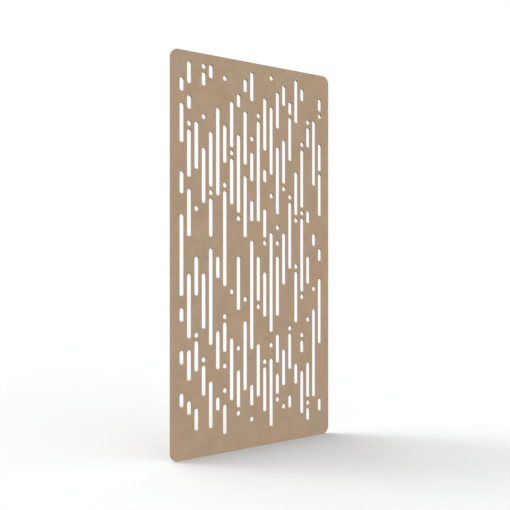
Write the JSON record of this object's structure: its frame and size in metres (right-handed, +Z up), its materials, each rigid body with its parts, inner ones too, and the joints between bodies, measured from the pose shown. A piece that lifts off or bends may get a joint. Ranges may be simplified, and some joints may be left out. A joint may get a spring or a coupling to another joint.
{
  "type": "hanging room divider panel",
  "caption": "Tall thin board with rounded corners, cut through by rows of upright round-ended slots and round dots, with threaded inserts in its top edge to hang it.",
  "frame": {"origin": "middle of the board's top edge, at mid thickness, halfway between the two hanging inserts", "axes": "+Z up, out of the top edge along the hanging bolts; X along the board's width; the front face looks towards -Y"},
  "size_m": [1.2, 0.012, 2.4],
  "materials": {
    "board": "matte",
    "insert_brass": "satin"
  },
  "bodies": {
    "root": {"panel": "board", "hanging_inserts": "insert_brass"}
  },
  "joints": []
}
